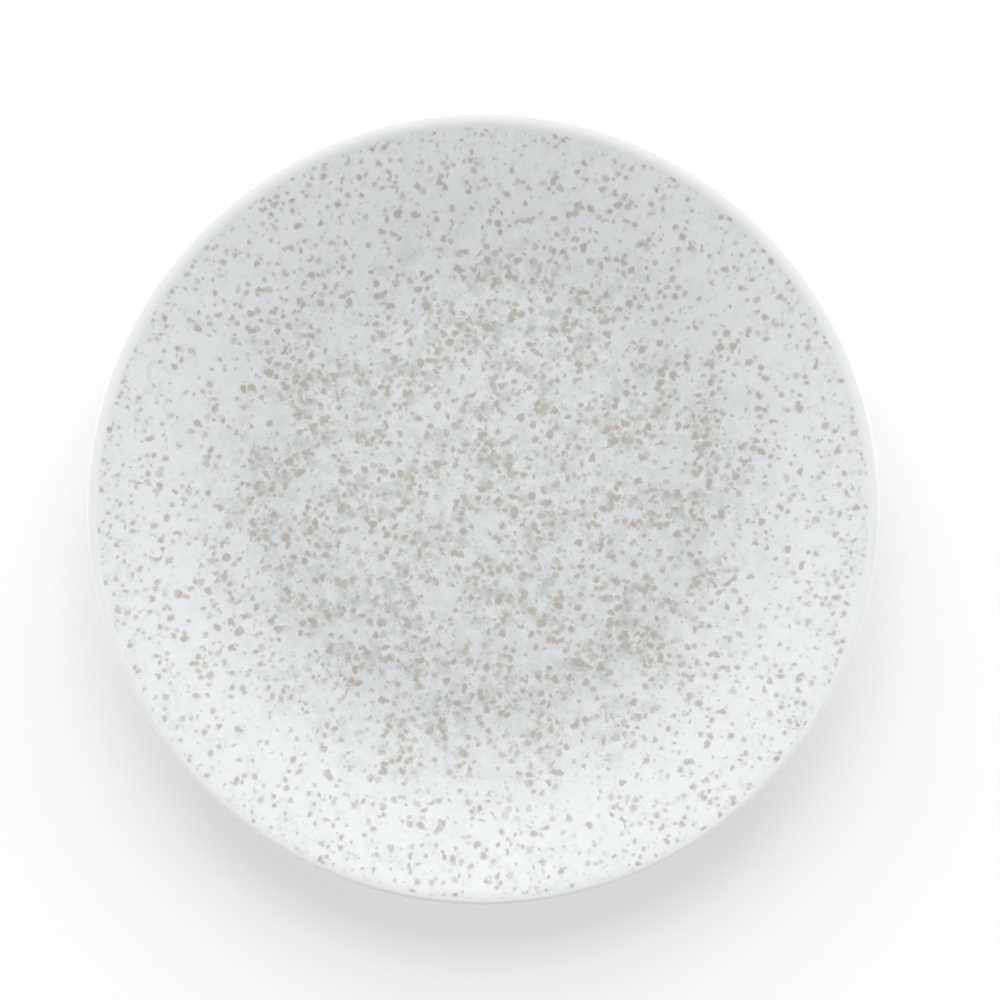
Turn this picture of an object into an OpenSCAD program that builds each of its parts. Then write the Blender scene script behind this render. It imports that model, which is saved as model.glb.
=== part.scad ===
// Coupe dinner plate: one pressed clay body on a foot ring, a printed colour
// film on its face, and a clear glaze that is wiped off where the foot stands.
// Sections are drawn as [radius, height] and revolved about the Z axis.
// The foot stands on Z = 0. Lengths are in millimetres, angles in degrees.

/* [Plate] */
// Diameter over the glazed lip
plate_d = 260; // [200:1:320]
// Height from the table to the top of the glazed lip
plate_h = 26; // [21:0.5:36]
// Thickness over the glaze of the lip
lip_t = 5; // [3.8:0.1:6.6]
// Radius over the glaze of the wide crown that carries the wall over onto the lip
crown_r = 8; // [5:0.1:12]
// Angle that the crown has fallen to where it meets the lip's upper edge
crown_fall_a = 6; // [2:0.5:12]
// Radius over the glaze of the lip's upper edge, which the lower edge takes up
lip_edge_r = 1.4; // [0.8:0.1:1.8]

/* [Well and wall] */
// Distance in from the edge at which the flat well ends
wall_run = 61; // [50:1:75]
// Radius of the first, tighter curve that lifts the end of the well
turn_r = 50; // [30:1:80]
// Angle that the first curve has risen to where the wider one takes over
turn_a = 10; // [6:0.5:12]
// Radius of the wider curve that carries on up into the straight wall
sweep_r = 125; // [80:1:180]
// Thickness of the clay in the well
well_t = 5; // [3.5:0.1:7]

/* [Foot ring] */
// Distance from the end of the flat well out to the outside of the foot
foot_reach = 7; // [2:0.5:12]
// Width of the foot ring
foot_w = 6; // [4:0.1:10]
// Height of the foot ring below the recess that it encloses
foot_h = 3.5; // [2.6:0.1:6]
// Rounding of the two edges that stand on the table
foot_edge_r = 0.8; // [0.3:0.1:1.2]
// Fillet where the foot ring runs into the underside
foot_fillet_r = 1.2; // [0.5:0.1:1.8]

/* [Print and glaze] */
// Width of the white lip beyond the print, seen from above
white_lip = 3.75; // [2.8:0.05:4.6]
// Thickness of the printed colour
print_t = 0.08; // [0.04:0.01:0.12]
// Thickness of the clear glaze over the clay
glaze_t = 0.25; // [0.16:0.01:0.4]
// Height above the table up to which the foot is wiped bare
bare_h = 1.2; // [0.8:0.1:1.8]

/* [Hidden] */

// Facets round the plate, and straight steps along each rounded stretch
$fn = 180;
arc_steps = 16;
crown_steps = 5;

// Lip: crown, upper edge and lower edge, each tangent to the next, on the clay's side of the glaze
crown_core_r = crown_r - glaze_t;
edge_core_r = lip_edge_r - glaze_t;
lower_core_r = lip_t - lip_edge_r - glaze_t;
crown_to_edge = (crown_r - lip_edge_r) * [sin(crown_fall_a), cos(crown_fall_a)];
crown_c = [plate_d / 2 - lip_edge_r - crown_to_edge.x, plate_h - crown_r];
edge_c = crown_c + crown_to_edge;
lower_c = edge_c - [lower_core_r - edge_core_r, 0];

// Face: flat well, turn, sweep and straight wall, each tangent to the next
face_z = foot_h + well_t;
turn_c = [plate_d / 2 - wall_run, face_z + turn_r];
turn_in = [-sin(turn_a), cos(turn_a)];

// The sweep leaves room for a straight wall at least as long as the crown's radius, on both sides of the clay
function sweep_room(centre, inset) =
    let (climb = centre - turn_c + turn_r * turn_in, across = climb * turn_in + inset)
    across > 0 ? (climb * climb - inset * inset - crown_core_r * crown_core_r) / (2 * across) : sweep_r;
face_sweep_r = min(
    sweep_r,
    sweep_room(crown_c, crown_core_r),
    sweep_room(lower_c, well_t - lower_core_r)
);
sweep_c = turn_c + (face_sweep_r - turn_r) * turn_in;
wall_reach = crown_c - sweep_c;
wall_a = atan2(wall_reach.y, wall_reach.x) + asin((face_sweep_r + crown_core_r) / norm(wall_reach));

// Underside: turn and sweep one well thickness lower, then straight out to the lip's lower edge
under_turn_r = turn_r + well_t;
under_sweep_r = face_sweep_r + well_t;
under_reach = lower_c - sweep_c;
under_a = atan2(under_reach.y, under_reach.x) + asin((under_sweep_r - lower_core_r) / norm(under_reach));

// Print: it ends on the crown or, where the white lip is wider than that, back on the wall
print_in = crown_c.x - plate_d / 2 + white_lip;
print_a = asin(min(print_in / crown_core_r, sin(wall_a)));
on_wall = max(print_in - crown_core_r * sin(wall_a), 0) / cos(wall_a);

// Foot ring: the edges and fillets keep within the foot's own height and width
foot_out_r = turn_c.x + foot_reach;
foot_in_r = foot_out_r - foot_w;
edge_r = min(foot_edge_r, bare_h, foot_w / 2 - glaze_t);
fillet_r = min(foot_fillet_r, foot_h - bare_h - 2 * glaze_t);

// The outer fillet touches the turn or, with a foot further out, the sweep or the wall beyond it
fillet_x = foot_out_r + fillet_r;
on_sweep = fillet_x - turn_c.x > (under_turn_r + fillet_r) * sin(turn_a);
rest_c = on_sweep ? sweep_c : turn_c;
rest_r = (on_sweep ? under_sweep_r : under_turn_r) + fillet_r;
touch_a = -acos(min(max((fillet_x - rest_c.x) / rest_r, 0), sin(under_a)));
touch_c = rest_c + rest_r * [cos(touch_a), sin(touch_a)];
out_fillet_c = [fillet_x, touch_c.y + (fillet_x - touch_c.x) * tan(touch_a + 90)];
in_fillet_c = [foot_in_r - fillet_r, foot_h - fillet_r];

// Points on an arc, from one angle to another
function arc(centre, radius, from, to, steps = arc_steps) = [
    for (i = [0 : steps])
        let (a = from + (to - from) * i / steps)
        centre + radius * [cos(a), sin(a)]
];

// The same points in the other order
function back(points) = [for (i = [len(points) - 1 : -1 : 0]) points[i]];

// All points but the first, where a stretch starts on the end of the last one
function onward(points) = [for (i = [1 : len(points) - 1]) points[i]];

// Stretches of the section, each at a distance out from the clay's surface
function crown(out, from, to) = arc(crown_c, crown_core_r + out, 90 + from, 90 + to, crown_steps);
function print_edge(out) = crown(out, print_a, 0)[0] - on_wall * [cos(wall_a), sin(wall_a)];
function printed(out) = concat(
    [[0, face_z + out]],
    arc(turn_c, turn_r - out, -90, turn_a - 90),
    onward(arc(sweep_c, face_sweep_r - out, turn_a - 90, wall_a - 90)),
    on_wall > 0 ? [print_edge(out)] : crown(out, wall_a, print_a)
);
function lip_face(out) = concat(
    on_wall > 0 ? [print_edge(out)] : [],
    crown(out, print_a, -crown_fall_a),
    onward(arc(edge_c, edge_core_r + out, 90 - crown_fall_a, 0))
);
function lip_side(out) = edge_c + [edge_core_r + out, 0];
function underside(out) = concat(
    onward(arc(lower_c, lower_core_r + out, 0, under_a - 90)),
    arc(sweep_c, under_sweep_r + out, under_a - 90, on_sweep ? touch_a : turn_a - 90),
    on_sweep ? [] : onward(arc(turn_c, under_turn_r + out, turn_a - 90, touch_a)),
    arc(out_fillet_c, fillet_r - out, touch_a + 180, 180)
);
function recess(out) = concat(
    arc(in_fillet_c, fillet_r - out, 0, 90),
    [[0, foot_h - out]]
);
function foot() = concat(
    arc([foot_out_r - edge_r, edge_r], edge_r, 0, -90),
    arc([foot_in_r + edge_r, edge_r], edge_r, -90, -180)
);

// Edge of the glaze on a side of the foot, thinning down onto the clay
function glaze_end(side_r, side) = [
    for (p = arc([0, bare_h + glaze_t], glaze_t, 0, -90)) [side_r + side * p.x, p.y]
];

// A closed section, turned once round the plate's axis
module revolve(points) {
    rotate_extrude() polygon(points);
}

// Pressed clay: well, wall, lip and foot ring in one piece
module body() {
    color("#f1ede4")
        revolve(concat(
            printed(0), onward(lip_face(0)),
            underside(0), foot(), recess(0)
        ));
}

// Printed colour on the face, ending short of the plate's edge
module speckle_print() {
    color("#c3c0b9")
        revolve(concat(
            printed(0), back(printed(print_t))
        ));
}

// Clear glaze over the print and the lip, as far as the widest line of the lip
module face_glaze() {
    color("#f3f6f7")
        revolve(concat(
            printed(print_t), lip_face(0),
            back(onward(lip_face(glaze_t))), back(printed(glaze_t))
        ));
}

// Glaze on the underside, from the lip's widest line to the foot's outer side
module back_glaze() {
    color("#eef2f3")
        revolve(concat(
            [lip_side(glaze_t)], underside(glaze_t), glaze_end(foot_out_r, 1),
            back(underside(0)), [lip_side(0)]
        ));
}

// Glaze on the recess, down to the foot's inner side
module recess_glaze() {
    color("#eef2f3")
        revolve(concat(
            back(glaze_end(foot_in_r, -1)), recess(glaze_t),
            back(recess(0))
        ));
}

body();
speckle_print();
face_glaze();
back_glaze();
recess_glaze();
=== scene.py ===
import math

import bpy
import numpy as np
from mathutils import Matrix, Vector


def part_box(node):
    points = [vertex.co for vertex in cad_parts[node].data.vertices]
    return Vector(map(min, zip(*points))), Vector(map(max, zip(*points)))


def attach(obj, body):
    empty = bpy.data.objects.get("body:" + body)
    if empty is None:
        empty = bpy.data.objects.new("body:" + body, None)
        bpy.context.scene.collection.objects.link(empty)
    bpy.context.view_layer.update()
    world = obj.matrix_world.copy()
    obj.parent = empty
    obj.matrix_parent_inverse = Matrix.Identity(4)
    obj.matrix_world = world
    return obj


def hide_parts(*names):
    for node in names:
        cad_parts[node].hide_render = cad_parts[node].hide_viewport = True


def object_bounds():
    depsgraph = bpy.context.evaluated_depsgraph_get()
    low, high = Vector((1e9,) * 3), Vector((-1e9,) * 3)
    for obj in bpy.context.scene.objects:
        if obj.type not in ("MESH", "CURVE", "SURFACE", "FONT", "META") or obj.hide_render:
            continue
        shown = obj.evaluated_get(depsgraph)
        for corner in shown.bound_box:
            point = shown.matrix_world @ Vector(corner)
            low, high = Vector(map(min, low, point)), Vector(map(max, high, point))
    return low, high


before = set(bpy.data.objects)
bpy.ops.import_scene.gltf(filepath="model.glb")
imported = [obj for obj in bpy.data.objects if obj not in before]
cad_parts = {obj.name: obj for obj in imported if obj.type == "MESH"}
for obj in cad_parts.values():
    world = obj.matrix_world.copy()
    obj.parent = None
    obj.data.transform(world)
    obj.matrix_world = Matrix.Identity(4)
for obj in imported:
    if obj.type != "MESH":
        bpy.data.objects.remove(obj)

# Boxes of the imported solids, in metres
cad_low, cad_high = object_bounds()
print_low, print_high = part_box("speckle_print")
recess_low, recess_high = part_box("recess_glaze")
_, body_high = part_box("body")

# Sizes read from the solids
PLATE_R = cad_high.x
PLATE_H = cad_high.z
GLAZE_T = cad_high.x - body_high.x
FACE_Z = print_low.z
FOOT_H = recess_high.z
FOOT_IN_R = recess_high.x
BARE_H = recess_low.z

# Sizes of the section that no box shows, as in the solids
WALL_RUN = 0.061
TURN_R = 0.05
TURN_A = math.radians(10)
SWEEP_R = 0.125
LIP_T = 0.005
LIP_EDGE_R = 0.0014
CROWN_R = 0.008
CROWN_FALL_A = math.radians(6)
FOOT_REACH = 0.007
FOOT_EDGE_R = 0.0008
FOOT_FILLET_R = 0.0012

# Steps round the plate and along each stretch of its section
ROUND = 320
BEND_STEPS = 20
LIP_STEPS = 24
FINE_STEPS = 10
FLAT_STEPS = 12

# Angle past which two faces meet at a sharp edge, and a quarter turn
SHARP_A = math.radians(35)
QUARTER = math.pi / 2

# Distance under which two points are one, and under which a point lies on the axis
MEET_TOLERANCE = 1e-7
AXIS_TOLERANCE = 1e-9

# Millimetres in a metre, for the patterns
MM_IN_METRE = 1000


def way(angle):
    """Unit vector at that angle from the radius, in the plane of the section."""
    return np.array([math.cos(angle), math.sin(angle)])


# Lip: crown, upper edge and lower edge, each tangent to the next
CROWN_CORE_R = CROWN_R - GLAZE_T
EDGE_CORE_R = LIP_EDGE_R - GLAZE_T
LOWER_CORE_R = LIP_T - LIP_EDGE_R - GLAZE_T
CROWN_TO_EDGE = (CROWN_R - LIP_EDGE_R) * way(QUARTER - CROWN_FALL_A)
CROWN_C = np.array([PLATE_R - LIP_EDGE_R - CROWN_TO_EDGE[0], PLATE_H - CROWN_R])
EDGE_C = CROWN_C + CROWN_TO_EDGE
LOWER_C = EDGE_C - np.array([LOWER_CORE_R - EDGE_CORE_R, 0])

# Well: the turn and the sweep on the face, and one well thickness lower on the underside
WELL_T = FACE_Z - FOOT_H
TURN_C = np.array([PLATE_R - WALL_RUN, FACE_Z + TURN_R])
SWEEP_C = TURN_C + (SWEEP_R - TURN_R) * way(QUARTER + TURN_A)
UNDER_TURN_R = TURN_R + WELL_T
UNDER_SWEEP_R = SWEEP_R + WELL_T


def rise(centre, drop):
    """Angle of the straight line that is tangent to the sweep and to a circle on the lip.

    The drop is how much lower, square to that line, the lip's centre lies than the sweep's. The angle is the
    one of the line between the two centres, plus the one whose sine is the drop over their distance.
    """
    reach = centre - SWEEP_C
    return math.atan2(reach[1], reach[0]) + math.asin(drop / np.hypot(*reach))


WALL_A = rise(CROWN_C, SWEEP_R + CROWN_CORE_R)
UNDER_A = rise(LOWER_C, UNDER_SWEEP_R - LOWER_CORE_R)

# Foot: its outer fillet touches the turn of the underside
FOOT_OUT_R = TURN_C[0] + FOOT_REACH
FILLET_REACH = UNDER_TURN_R + FOOT_FILLET_R
TOUCH_A = -math.acos((FOOT_REACH + FOOT_FILLET_R) / FILLET_REACH)
OUT_FILLET_C = TURN_C + FILLET_REACH * way(TOUCH_A)
IN_FILLET_C = np.array([FOOT_IN_R - FOOT_FILLET_R, FOOT_H - FOOT_FILLET_R])


def arc(centre, radius, start, end, steps):
    """Points on a circle of that centre and radius, at even angles from start to end."""
    angles = np.linspace(start, end, steps + 1)
    return np.asarray(centre) + radius * np.stack([np.cos(angles), np.sin(angles)], 1)


def line(start, end, steps):
    """Even points on a straight line, both ends counted."""
    share = np.linspace(0, 1, steps + 1)[:, None]
    return np.array(start) * (1 - share) + np.array(end) * share


def chain(*stretches):
    """Stretches one after the other, each without its first point where that repeats the last one."""
    points = [stretches[0]]
    for stretch in stretches[1:]:
        repeats = np.allclose(points[-1][-1], stretch[0], atol=MEET_TOLERANCE)
        points.append(stretch[1:] if repeats else stretch)
    return np.concatenate(points)


def face_line(out):
    """Section of the face at a distance out from the clay.

    From the axis outwards: flat well, turn, sweep, straight wall, crown and upper edge of the lip.
    """
    turn = arc(TURN_C, TURN_R - out, -QUARTER, TURN_A - QUARTER, BEND_STEPS)
    sweep = arc(SWEEP_C, SWEEP_R - out, TURN_A - QUARTER, WALL_A - QUARTER, BEND_STEPS)
    crown = arc(CROWN_C, CROWN_CORE_R + out, QUARTER + WALL_A, QUARTER - CROWN_FALL_A, LIP_STEPS)
    edge = arc(EDGE_C, EDGE_CORE_R + out, QUARTER - CROWN_FALL_A, 0, LIP_STEPS)
    well = line([0, FACE_Z + out], turn[0], FLAT_STEPS)
    wall = line(sweep[-1], crown[0], FLAT_STEPS)
    return chain(well, turn, sweep, wall, crown, edge)


def back_line(out):
    """Section of the underside at a distance out from the clay.

    From the lip inwards: lower edge of the lip, straight wall, sweep, turn and fillet of the foot.
    """
    lip = arc(LOWER_C, LOWER_CORE_R + out, 0, UNDER_A - QUARTER, LIP_STEPS)
    sweep = arc(SWEEP_C, UNDER_SWEEP_R + out, UNDER_A - QUARTER, TURN_A - QUARTER, BEND_STEPS)
    turn = arc(TURN_C, UNDER_TURN_R + out, TURN_A - QUARTER, TOUCH_A, FINE_STEPS)
    fillet = arc(OUT_FILLET_C, FOOT_FILLET_R - out, TOUCH_A + math.pi, math.pi, FINE_STEPS)
    wall = line(lip[-1], sweep[0], FLAT_STEPS)
    return chain(lip, wall, sweep, turn, fillet)


def recess_line(out):
    """Section of the recess at a distance out from the clay: foot fillet, then flat to the axis."""
    fillet = arc(IN_FILLET_C, FOOT_FILLET_R - out, 0, QUARTER, FINE_STEPS)
    return chain(fillet, line(fillet[-1], [0, FOOT_H - out], FLAT_STEPS))


def foot_line():
    """Section of the bare foot: two rounded edges with the flat bearing face between them."""
    outer = arc([FOOT_OUT_R - FOOT_EDGE_R, FOOT_EDGE_R], FOOT_EDGE_R, 0, -QUARTER, FINE_STEPS)
    inner = arc([FOOT_IN_R + FOOT_EDGE_R, FOOT_EDGE_R], FOOT_EDGE_R, -QUARTER, -math.pi, FINE_STEPS)
    return chain(outer, inner)


def glaze_end(side_r, side):
    """Quarter round in which the glaze thins down onto the side of the foot."""
    bend = arc([0, BARE_H + GLAZE_T], GLAZE_T, 0, -QUARTER, FINE_STEPS)
    return np.array([side_r, 0]) + bend * np.array([side, 1])


def ring_sizes(stretch, map_part):
    """Distance from the map centre of each section point, even in length along the section."""
    steps = np.hypot(*np.diff(stretch, axis=0).T)
    share = np.concatenate([[0], np.cumsum(steps)]) / steps.sum()
    return map_part[2] + (map_part[3] - map_part[2]) * share


def revolve(name, shown, hidden, shown_map, hidden_map):
    """Closed surface of revolution: point (i, j) is section point j turned by i steps about Z.

    The shown stretch comes first and the hidden one brings the outline back to its start. Each stretch is
    laid on the map as rings about its own centre, whose radius grows with the length along the section.
    """
    outline = np.concatenate([shown, hidden])
    on_axis = outline[:, 0] < AXIS_TOLERANCE
    closed = not on_axis.any()
    count = len(outline)
    around = np.arange(ROUND)
    turn = 2 * math.pi * around / ROUND
    spin = np.stack([np.cos(turn), np.sin(turn)], 1)
    places = np.empty((count, ROUND, 3))
    places[..., :2] = outline[:, None, :1] * spin[None]
    places[..., 2] = outline[:, None, 1]

    # Points on the axis are one vertex each, and all other points are a ring
    sizes = np.where(on_axis, 1, ROUND)
    first = np.concatenate([[0], np.cumsum(sizes)[:-1]])
    index = first[:, None] + np.where(on_axis[:, None], 0, around[None])
    kept = np.where(on_axis[:, None], around[None] == 0, True)
    vertices = places[kept]

    # A strip of faces joins each section point to the next one
    here = np.arange(count if closed else count - 1)
    after = (here + 1) % count
    use = ~(on_axis[here] & on_axis[after])
    here, after = here[use], after[use]
    left, right = around, (around + 1) % ROUND
    corners = np.stack(
        [index[here][:, left], index[after][:, left], index[after][:, right], index[here][:, right]], -1
    )

    # Map of each stretch: rings from its first to its last radius
    back = here >= len(shown) - 1
    ring = np.concatenate([ring_sizes(shown, shown_map), ring_sizes(hidden, hidden_map)])
    ring_here = np.where(back & (here == len(shown) - 1), ring[after], ring[here])
    ring_after = np.where(back & (after == 0), ring[here], ring[after])
    middle = np.where(back[:, None], hidden_map[:2], shown_map[:2])
    rings = np.stack([ring_here, ring_after, ring_after, ring_here], 1)
    spins = np.stack([spin[left], spin[left], spin[right], spin[right]], 1)
    map_places = middle[:, None, None, :] + rings[:, None, :, None] * spins[None]

    # Faces with a corner on the axis are triangles
    flat = corners.reshape(-1, 4)
    tip_here = np.repeat(on_axis[here], ROUND)
    tip_after = np.repeat(on_axis[after], ROUND)
    keep_corner = np.ones((len(flat), 4), bool)
    keep_corner[tip_here, 3] = False
    keep_corner[tip_after, 2] = False
    totals = np.where(tip_here | tip_after, 3, 4)
    starts = np.concatenate([[0], np.cumsum(totals)[:-1]])

    mesh = bpy.data.meshes.new(name)
    mesh.vertices.add(len(vertices))
    mesh.vertices.foreach_set("co", vertices.ravel())
    mesh.loops.add(int(totals.sum()))
    mesh.loops.foreach_set("vertex_index", flat[keep_corner].astype(np.int32))
    mesh.polygons.add(len(flat))
    mesh.polygons.foreach_set("loop_start", starts.astype(np.int32))
    mesh.polygons.foreach_set("loop_total", totals.astype(np.int32))
    mesh.polygons.foreach_set("material_index", np.repeat(back, ROUND).astype(np.int32))
    mesh.update(calc_edges=True)
    layer = mesh.uv_layers.new(name="OFBake")
    layer.data.foreach_set("uv", map_places.reshape(-1, 4, 2)[keep_corner].ravel())
    mesh.validate()
    mesh.shade_smooth()
    mesh.set_sharp_from_angle(angle=SHARP_A)
    made = bpy.data.objects.new(name, mesh)
    bpy.context.scene.collection.objects.link(made)
    return made


class Field:
    """A number that varies over a surface, so that a pattern can be written as a formula."""

    def __init__(self, tree, socket):
        self.tree = tree
        self.socket = socket

    def math(self, operation, *others):
        """Field worked out from this one and others, which may be plain numbers."""
        made = self.tree.nodes.new("ShaderNodeMath")
        made.operation = operation
        for place, value in zip(made.inputs, (self, *others)):
            if isinstance(value, Field):
                self.tree.links.new(value.socket, place)
            else:
                place.default_value = value
        return Field(self.tree, made.outputs[0])

    def __add__(self, other):
        return self.math("ADD", other)

    def __sub__(self, other):
        return self.math("SUBTRACT", other)

    def __mul__(self, other):
        return self.math("MULTIPLY", other)

    def over(self, other):
        """The larger of the two."""
        return self.math("MAXIMUM", other)

    def under(self, other):
        """The smaller of the two."""
        return self.math("MINIMUM", other)

    def inverse(self):
        """1 where the field is 0, and 0 where it is 1."""
        return self * -1 + 1

    def fade(self, low, high):
        """0 below low, 1 above high, and a smooth S between them."""
        made = self.tree.nodes.new("ShaderNodeMapRange")
        made.interpolation_type = "SMOOTHSTEP"
        self.tree.links.new(self.socket, made.inputs["Value"])
        made.inputs["From Min"].default_value = low
        made.inputs["From Max"].default_value = high
        return Field(self.tree, made.outputs["Result"])


class Surface:
    """A material under construction, with its places in millimetres as the pattern's coordinates."""

    def __init__(self, name):
        self.material = bpy.data.materials.new(name)
        self.material.use_nodes = True
        self.tree = self.material.node_tree
        self.shader = self.tree.nodes["Principled BSDF"]
        metres = self.tree.nodes.new("ShaderNodeTexCoord").outputs["Object"]
        self.place = self.scaled(metres, MM_IN_METRE)

    def vector(self, operation, first, second=None):
        """Node that works with one vector and with a second one, which may be constant."""
        made = self.tree.nodes.new("ShaderNodeVectorMath")
        made.operation = operation
        self.tree.links.new(first, made.inputs[0])
        if isinstance(second, tuple):
            made.inputs[1].default_value = second
        elif second is not None:
            self.tree.links.new(second, made.inputs[1])
        return made

    def scaled(self, vector, factor):
        """Vector times a number."""
        made = self.vector("SCALE", vector)
        made.inputs["Scale"].default_value = factor
        return made.outputs["Vector"]

    def moved(self, place, offset):
        """Places moved by an offset, which may vary over the surface."""
        return self.vector("ADD", place, offset).outputs["Vector"]

    def turned(self, place, offset, angle):
        """Places moved by millimetres and turned by degrees about Z, so that no layer repeats another."""
        made = self.tree.nodes.new("ShaderNodeMapping")
        self.tree.links.new(place, made.inputs["Vector"])
        made.inputs["Location"].default_value = (offset, LAYER_SLANT * offset, 0)
        made.inputs["Rotation"].default_value = (0, 0, math.radians(angle))
        return made.outputs["Vector"]

    def noise_node(self, place, size, detail, roughness, dimensions):
        """Noise texture whose features are about that many millimetres across."""
        made = self.tree.nodes.new("ShaderNodeTexNoise")
        made.noise_dimensions = dimensions
        self.tree.links.new(place, made.inputs["Vector"])
        made.inputs["Scale"].default_value = 1 / size
        made.inputs["Detail"].default_value = detail
        made.inputs["Roughness"].default_value = roughness
        return made

    def noise(self, place, size, detail=2.0, roughness=0.5, dimensions="2D"):
        """Soft random field, of the noise texture's values."""
        made = self.noise_node(place, size, detail, roughness, dimensions)
        return Field(self.tree, made.outputs["Fac"])

    def ragged(self, place, size, amount):
        """Places shifted by a random vector field, which makes round spots ragged."""
        made = self.noise_node(place, size, detail=1.0, roughness=0.5, dimensions="2D")
        centred = self.moved(made.outputs["Color"], (-0.5, -0.5, -0.5))
        return self.moved(place, self.scaled(centred, 2 * amount))

    def radius_from(self, centre):
        """Distance from a vertical axis through that place."""
        offset = self.moved(self.place, (-centre[0], -centre[1], 0))
        flat = self.vector("MULTIPLY", offset, (1, 1, 0)).outputs["Vector"]
        return Field(self.tree, self.vector("LENGTH", flat).outputs["Value"])

    def spots(self, place, density, scale, cell, small, large, edge, faint):
        """One layer of spots: a disc round each grid point whose draw is below the density.

        The grid is jittered. Radius and strength are drawn for each point too, and the radius is scaled by a
        field. Returns the spots, and a wider soft halo round them.
        """
        made = self.tree.nodes.new("ShaderNodeTexVoronoi")
        made.voronoi_dimensions = "2D"
        made.feature = "F1"
        self.tree.links.new(place, made.inputs["Vector"])
        made.inputs["Scale"].default_value = 1 / cell
        made.inputs["Randomness"].default_value = GRID_JITTER
        distance = Field(self.tree, made.outputs["Distance"]) * cell
        draws = self.tree.nodes.new("ShaderNodeSeparateColor")
        self.tree.links.new(made.outputs["Color"], draws.inputs[0])
        chance, girth, force = [Field(self.tree, s) for s in draws.outputs]
        there = (density - chance).fade(*DRAW_FADE)
        radius = there * (girth * (large - small) + small) * scale
        inside = radius - distance
        strength = there * (force * (1 - faint) + faint)
        disc = inside.fade(-edge, edge)
        halo = inside.fade(HALO_FADE[0] * large, HALO_FADE[1] * large)
        return disc * strength, halo * strength

    def blend(self, share, first, second):
        """Colour that goes from the first to the second as the share goes from 0 to 1."""
        made = self.tree.nodes.new("ShaderNodeMix")
        made.data_type = "RGBA"
        self.tree.links.new(share.socket, made.inputs["Factor"])
        for name, value in (("A", first), ("B", second)):
            place = [s for s in made.inputs if s.name == name and s.type == "RGBA"][0]
            if isinstance(value, tuple):
                place.default_value = (*value, 1)
            else:
                self.tree.links.new(value, place)
        return [s for s in made.outputs if s.type == "RGBA"][0]

    def colour(self, socket):
        """Gives the surface its colour."""
        self.tree.links.new(socket, self.shader.inputs["Base Color"])

    def gloss(self, low, high, size):
        """Roughness that wanders between two values."""
        drift = self.noise(self.place, size, detail=3.0, dimensions="3D").fade(*NOISE_SPAN)
        self.tree.links.new((drift * (high - low) + low).socket, self.shader.inputs["Roughness"])

    def ripple(self, size, depth, detail=2.0):
        """Fine relief of that size in millimetres and depth in metres."""
        made = self.tree.nodes.new("ShaderNodeBump")
        made.inputs["Distance"].default_value = depth
        height = self.noise(self.place, size, detail=detail, dimensions="3D")
        self.tree.links.new(height.socket, made.inputs["Height"])
        self.tree.links.new(made.outputs["Normal"], self.shader.inputs["Normal"])


# Colours of the ware, as linear red, green and blue
WHITE_GLAZE = (0.88, 0.894, 0.896)
WHITE_GLAZE_DULL = tuple(0.975 * c for c in WHITE_GLAZE)
# Cool grey ground of the print; part of the step from it up to the whiter lip is a painted highlight
PRINT_GROUND = (0.808, 0.826, 0.831)
WASH = (0.585, 0.617, 0.606)
SPOT = (0.53, 0.496, 0.443)
CLAY = (0.76, 0.72, 0.64)
CLAY_DARK = (0.68, 0.63, 0.54)

# Print: centre a little towards the viewer, and radius, in millimetres
PRINT_CENTRE = (0.0, -1.65)
PRINT_R = print_high.x * MM_IN_METRE

# Zones of the face, as the radii in millimetres at which each begins and is full
WELL_ZONE = (117, 66)
MIDDLE_ZONE = (85, 25)
RIM_ZONE = (110, 118)
PRINT_ZONE = (PRINT_R + 0.4, PRINT_R - 0.4)
# Fade from the print's ground to the whiter lip, about the plate's axis: partly the unprinted glaze, partly
# a painted highlight on the lip
TINT_AND_LIP_HIGHLIGHT_ZONE = (PRINT_R + 1.2, PRINT_R - 1.6)

# Range that most of a noise field lies in, and how far layers move sideways for each step along
NOISE_SPAN = (0.3, 0.7)
LAYER_SLANT = 0.7

# All spots: jitter of the grid, softness of the draw, and the halo's fade over the largest radius
GRID_JITTER = 0.9
DRAW_FADE = (0.0, 0.12)
HALO_FADE = (-1.6, 0.2)

# Layers of spots, in millimetres: grid, least and largest radius and softness, and then the least strength
BOLD_SPOTS = dict(cell=3.3, small=0.42, large=1.05, edge=0.42, faint=0.5)
PLAIN_SPOTS = dict(cell=3.8, small=0.4, large=1.05, edge=0.42, faint=0.45)
WELL_SPOTS = dict(cell=4.1, small=0.52, large=1.25, edge=0.46, faint=0.5)
SMALL_SPOTS = dict(cell=2.7, small=0.24, large=0.6, edge=0.32, faint=0.35)
DUST_SPOTS = dict(cell=1.6, small=0.18, large=0.45, edge=0.26, faint=0.35)


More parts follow.
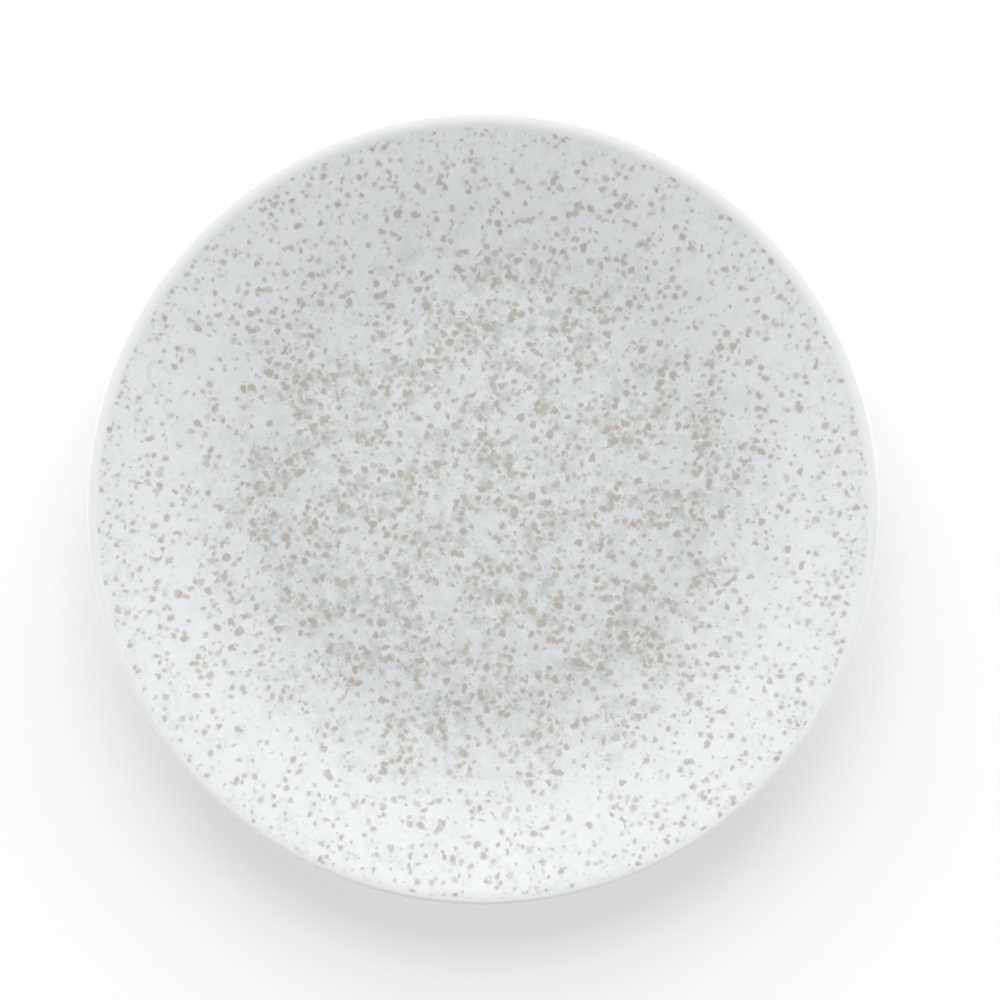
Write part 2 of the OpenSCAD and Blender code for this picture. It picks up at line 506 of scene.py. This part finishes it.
def printed_glaze():
    """Warm grey speckles and a smoky grey wash under clear glaze, with a white unprinted lip whose extra
    whiteness is partly a painted highlight.
    """
    ware = Surface("speckled print under clear glaze")
    radius = ware.radius_from(PRINT_CENTRE)
    well = radius.fade(*WELL_ZONE)
    rim = radius.fade(*RIM_ZONE)
    middle = radius.fade(*MIDDLE_ZONE)
    clumps = ware.noise(ware.turned(ware.place, 140, 0), size=15).fade(0.38, 0.6)
    groups = ware.noise(ware.turned(ware.place, 41, 23), size=6.5).fade(0.36, 0.62)
    gaps = clumps.inverse() * well

    # Spots: denser in groups and in the well, smaller at the rim, and fewer in the gaps of the well
    scale = well * -0.02 - rim * 0.22 + 1.2
    bent = ware.ragged(ware.place, size=3.6, amount=0.7)
    soft = ware.ragged(bent, size=1.4, amount=0.25)
    torn = ware.ragged(bent, size=1.2, amount=0.5)
    density = groups * 0.5 + well * 0.16 + rim * 0.1 + 0.15 - gaps * 0.26
    bold, halo = ware.spots(ware.turned(soft, 0, 17), density, scale, **BOLD_SPOTS)
    density = groups * 0.36 + well * 0.36 + 0.05 - gaps * 0.26
    plain, glow = ware.spots(ware.turned(soft, 61, 48), density, scale, **PLAIN_SPOTS)
    density = well * (clumps * 0.42 + 0.14) + middle * 0.14
    inner, _ = ware.spots(ware.turned(torn, 33, 71), density, scale, **WELL_SPOTS)
    density = rim * 0.2 + well * 0.16 + 0.17 - gaps * 0.15
    small, _ = ware.spots(ware.turned(torn, 19, 35), density, scale, **SMALL_SPOTS)
    density = well * (clumps * 0.34 + 0.24) + rim * 0.1 + 0.05
    dust, _ = ware.spots(ware.turned(torn, 7, 62), density, scale, **DUST_SPOTS)

    # Flecks join the spots of the well where they lie close together
    near = halo.over(glow)
    flecks = ware.noise(ware.turned(bent, 53, 11), size=1.3, detail=4.0, roughness=0.75).fade(0.5, 0.66)
    joined = flecks * near * well * 0.55
    mark = (bold + plain + inner + small + dust * 0.6).over(joined).under(1.0)

    # Wash: smoke in the well, trails through the groups and a haze round the spots
    smoke = ware.noise(ware.turned(bent, 13, 5), size=5.5, detail=7.0, roughness=0.72).fade(0.36, 0.66)
    mist = ware.noise(ware.turned(bent, 29, 40), size=2.2, detail=5.0, roughness=0.7).fade(0.4, 0.7)
    wash = smoke * (clumps * 0.6 + 0.4) * well * 0.86 + well * 0.1
    trail = mist * groups * (well * -0.25 + 0.5)
    haze = near * (mist * 0.45 + 0.18)

    # The print ends in a soft line, and the glaze over the bare clay beyond it is whiter: partly the
    # unprinted white glaze, and partly a painted highlight where the lip's crest catches the light
    printed = radius.fade(*PRINT_ZONE)
    tint_and_lip_highlight = ware.radius_from((0, 0)).fade(*TINT_AND_LIP_HIGHLIGHT_ZONE)
    ground_with_lip_highlight = ware.blend(tint_and_lip_highlight, WHITE_GLAZE, PRINT_GROUND)
    ground = ware.blend(wash.over(haze).over(trail) * printed, ground_with_lip_highlight, WASH)
    ware.colour(ware.blend(mark * printed, ground, SPOT))
    ware.gloss(low=0.08, high=0.16, size=18)
    ware.ripple(size=7, depth=0.00003)
    return ware.material


def white_glaze():
    """White glaze on the underside, with a faint drift of tone and fine ripples."""
    ware = Surface("white glaze")
    drift = ware.noise(ware.place, size=26, detail=3.0, dimensions="3D").fade(*NOISE_SPAN)
    ware.colour(ware.blend(drift, WHITE_GLAZE, WHITE_GLAZE_DULL))
    ware.gloss(low=0.08, high=0.18, size=15)
    ware.ripple(size=6, depth=0.00004)
    return ware.material


def bare_clay():
    """Fired clay left bare where the foot stands: warm white, fine grained and rough."""
    ware = Surface("bare fired clay")
    grain = ware.noise(ware.place, size=0.8, detail=4.0, roughness=0.65, dimensions="3D").fade(*NOISE_SPAN)
    ware.colour(ware.blend(grain, CLAY, CLAY_DARK))
    ware.gloss(low=0.55, high=0.75, size=4)
    ware.ripple(size=0.5, depth=0.00006, detail=3.0)
    return ware.material


PRINTED = printed_glaze()
GLAZED = white_glaze()
BARE = bare_clay()

# Parts of a piece's map: centre across and up, then the radius at the start and at the end of the stretch
FACE_MAP = (0.5, 0.5, 0.0, 0.495)
FACE_HIDDEN_MAP = (0.07, 0.07, 0.062, 0.0)
BACK_MAP = (0.5, 0.5, 0.495, 0.2)
BACK_HIDDEN_MAP = (0.07, 0.07, 0.03, 0.062)
RECESS_MAP = (0.5, 0.5, 0.495, 0.0)
RECESS_HIDDEN_MAP = (0.07, 0.07, 0.0, 0.062)
CLAY_MAP = (0.28, 0.72, 0.0, 0.27)
CLAY_FOOT_MAP = (0.74, 0.26, 0.25, 0.0)


def dress(piece, slot, *materials):
    """Gives a piece its finishes and lets it ride on the plate. The slot is not used."""
    for material in materials:
        piece.data.materials.append(material)
    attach(piece, "root")


face = revolve("printed_face", face_line(GLAZE_T), face_line(0)[::-1], FACE_MAP, FACE_HIDDEN_MAP)
dress(face, "face_glaze", PRINTED, BARE)
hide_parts("face_glaze", "speckle_print")

under = chain(back_line(GLAZE_T), glaze_end(FOOT_OUT_R, 1))
back = revolve("glazed_back", under, back_line(0)[::-1], BACK_MAP, BACK_HIDDEN_MAP)
dress(back, "back_glaze", GLAZED, BARE)
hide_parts("back_glaze")

hollow = chain(glaze_end(FOOT_IN_R, -1)[::-1], recess_line(GLAZE_T))
recess = revolve("glazed_recess", hollow, recess_line(0)[::-1], RECESS_MAP, RECESS_HIDDEN_MAP)
dress(recess, "back_glaze", GLAZED, BARE)
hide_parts("recess_glaze")

clay_top = chain(face_line(0), back_line(0))
clay_foot = chain(foot_line(), recess_line(0))
clay = revolve("clay_body", clay_top, clay_foot, CLAY_MAP, CLAY_FOOT_MAP)
dress(clay, "clay", BARE, BARE)
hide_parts("body")

# Surroundings: strength overhead, at the horizon and below, and the heights between the last two
OVERHEAD = 0.02
HORIZON = 1.0
BELOW = 0.5
BELOW_FADE = (-0.2, 0.0)

# Floor: half its width, its tone, and its lift to white near and far, with the distances of both
FLOOR_HALF = 6.0
FLOOR_TONE = 0.78
NEAR_LIFT = 0.25
FAR_LIFT = 0.8
FLOOR_FADE = (0.0, 1.6)


def seen_rays(tree):
    """1 for rays that show a thing to the camera, straight, mirrored or through glass, and 0 for light."""
    path = tree.nodes.new("ShaderNodeLightPath")
    names = ("Is Camera Ray", "Is Glossy Ray", "Is Transmission Ray")
    straight, mirrored, through = [Field(tree, path.outputs[n]) for n in names]
    return straight.over(mirrored).over(through)


def floor_finish():
    """Pale matt floor with a lift to white that grows with the distance, clear when seen from below."""
    material = bpy.data.materials.new("pale floor")
    material.use_nodes = True
    tree = material.node_tree
    tree.nodes.clear()
    matt = tree.nodes.new("ShaderNodeBsdfDiffuse")
    matt.inputs["Color"].default_value = (FLOOR_TONE, FLOOR_TONE, FLOOR_TONE, 1)
    lift = tree.nodes.new("ShaderNodeEmission")
    lift.inputs["Color"].default_value = (1, 1, 1, 1)
    size = tree.nodes.new("ShaderNodeVectorMath")
    size.operation = "LENGTH"
    tree.links.new(tree.nodes.new("ShaderNodeTexCoord").outputs["Object"], size.inputs[0])
    away = Field(tree, size.outputs["Value"]).fade(*FLOOR_FADE)
    strength = seen_rays(tree) * (away * (FAR_LIFT - NEAR_LIFT) + NEAR_LIFT)
    tree.links.new(strength.socket, lift.inputs["Strength"])
    both = tree.nodes.new("ShaderNodeAddShader")
    tree.links.new(matt.outputs[0], both.inputs[0])
    tree.links.new(lift.outputs[0], both.inputs[1])
    clear = tree.nodes.new("ShaderNodeBsdfTransparent")
    side = tree.nodes.new("ShaderNodeNewGeometry")
    mix = tree.nodes.new("ShaderNodeMixShader")
    tree.links.new(side.outputs["Backfacing"], mix.inputs[0])
    tree.links.new(both.outputs[0], mix.inputs[1])
    tree.links.new(clear.outputs[0], mix.inputs[2])
    out = tree.nodes.new("ShaderNodeOutputMaterial")
    tree.links.new(mix.outputs[0], out.inputs["Surface"])
    return material


def floor():
    """Square floor at the height of the foot, which keeps the plate's shadow and lights nothing."""
    half = FLOOR_HALF
    corners = [(-half, -half, 0), (half, -half, 0), (half, half, 0), (-half, half, 0)]
    mesh = bpy.data.meshes.new("floor")
    mesh.from_pydata(corners, [], [(0, 1, 2, 3)])
    mesh.materials.append(floor_finish())
    made = bpy.data.objects.new("floor", mesh)
    bpy.context.scene.collection.objects.link(made)
    made.visible_diffuse = False


def surroundings():
    """White surroundings that are bright at the horizon, and weaker both overhead and below."""
    world = bpy.data.worlds.new("studio")
    bpy.context.scene.world = world
    world.use_nodes = True
    tree = world.node_tree
    light = tree.nodes["Background"]
    light.inputs["Color"].default_value = (1, 1, 1, 1)
    direction = tree.nodes.new("ShaderNodeSeparateXYZ")
    tree.links.new(tree.nodes.new("ShaderNodeTexCoord").outputs["Generated"], direction.inputs[0])
    height = Field(tree, direction.outputs["Z"])
    above = height.over(0.0)
    overhead = above * above * (OVERHEAD - HORIZON)
    strength = overhead + height.fade(*BELOW_FADE) * (HORIZON - BELOW) + BELOW
    tree.links.new(strength.socket, light.inputs["Strength"])


def softbox(name, place, width, height, power):
    """Flat lamp at a place, turned to face the plate, in metres and watts."""
    lamp = bpy.data.lights.new(name, "AREA")
    lamp.shape = "RECTANGLE"
    lamp.size = width
    lamp.size_y = height
    lamp.energy = power
    made = bpy.data.objects.new(name, lamp)
    bpy.context.scene.collection.objects.link(made)
    towards = np.array(place) / np.linalg.norm(place)
    made.location = place
    made.rotation_euler = (math.acos(towards[2]), 0, math.atan2(towards[1], towards[0]) + QUARTER)
    made.visible_camera = False
    made.visible_glossy = False


floor()
surroundings()
softbox("key softbox", place=(0.0, 1.79, 1.28), width=2.4, height=2.4, power=46.0)
softbox("left softbox", place=(-2.0, 0.0, 0.36), width=1.0, height=0.5, power=8.5)
softbox("right softbox", place=(2.0, 0.0, 0.36), width=1.0, height=0.5, power=8.5)

# Camera: straight down, so that the plate's outline falls on this circle of the 1000 pixel frame
FRAME_PIXELS = 1000
OUTLINE_PIXELS = (483.2, 508.0)
OUTLINE_R_PIXELS = 396.6
LENS_MM = 135.0
SENSOR_MM = 36.0

metres_per_pixel = PLATE_R / OUTLINE_R_PIXELS
view_width = metres_per_pixel * FRAME_PIXELS
camera_data = bpy.data.cameras.new("camera")
camera_data.lens = LENS_MM
camera_data.sensor_width = SENSOR_MM
camera = bpy.data.objects.new("camera", camera_data)
camera.location = (
    (FRAME_PIXELS / 2 - OUTLINE_PIXELS[0]) * metres_per_pixel,
    (OUTLINE_PIXELS[1] - FRAME_PIXELS / 2) * metres_per_pixel,
    EDGE_C[1] + view_width * LENS_MM / SENSOR_MM,
)
bpy.context.scene.collection.objects.link(camera)
bpy.context.scene.camera = camera
bpy.context.scene.view_settings.view_transform = "Standard"
